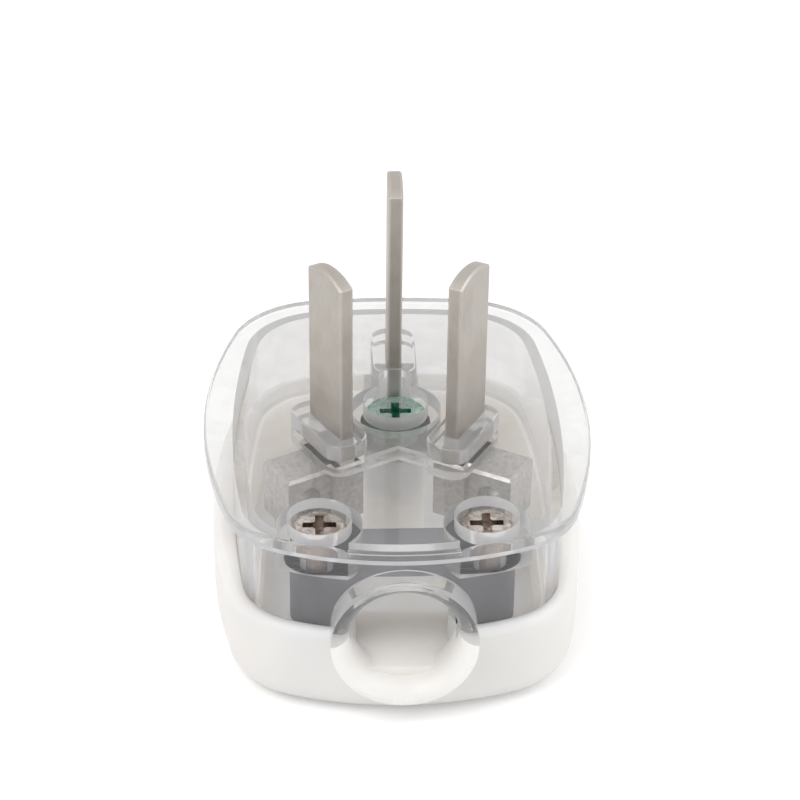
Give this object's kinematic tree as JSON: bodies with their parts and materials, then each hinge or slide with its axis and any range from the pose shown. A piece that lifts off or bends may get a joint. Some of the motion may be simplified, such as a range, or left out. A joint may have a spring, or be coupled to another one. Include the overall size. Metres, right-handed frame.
{
  "type": "type i plug",
  "caption": "Rewirable type I plug: flat earth blade behind two slanted blades, clear cover over the terminals, white back, cord entry at the near end.",
  "frame": {"origin": "on the flat back face, under the centre of the three-blade pattern", "axes": "+Z out of the engaging face along the blades, +Y from the cord entry towards the earth blade, +X to the neutral blade's side"},
  "size_m": [0.0402, 0.0514, 0.043],
  "materials": {
    "clear_plastic": "clear polished moulding",
    "white_plastic": "satin moulding",
    "slate_plastic": "matte moulding",
    "nickel_blade": "nickel plated, satin",
    "nickel_terminal": "nickel plated",
    "steel_screw": "nickel plated steel",
    "green_screw": "green coated steel",
    "bare_brass": "turned brass"
  },
  "bodies": {
    "root": {"front_cover": "clear_plastic", "back_shell": "white_plastic", "cord_clamp": "slate_plastic", "line_pin": "nickel_blade", "neutral_pin": "nickel_blade", "earth_pin": "nickel_blade", "line_terminal": "nickel_terminal", "neutral_terminal": "nickel_terminal", "earth_terminal": "nickel_terminal", "earth_strap": "nickel_terminal", "line_terminal_screw": "steel_screw", "neutral_terminal_screw": "steel_screw", "earth_terminal_screw": "steel_screw", "left_cover_screw": "steel_screw", "right_cover_screw": "steel_screw", "centre_screw": "green_screw", "left_insert": "bare_brass", "right_insert": "bare_brass", "centre_insert": "bare_brass"}
  },
  "joints": []
}
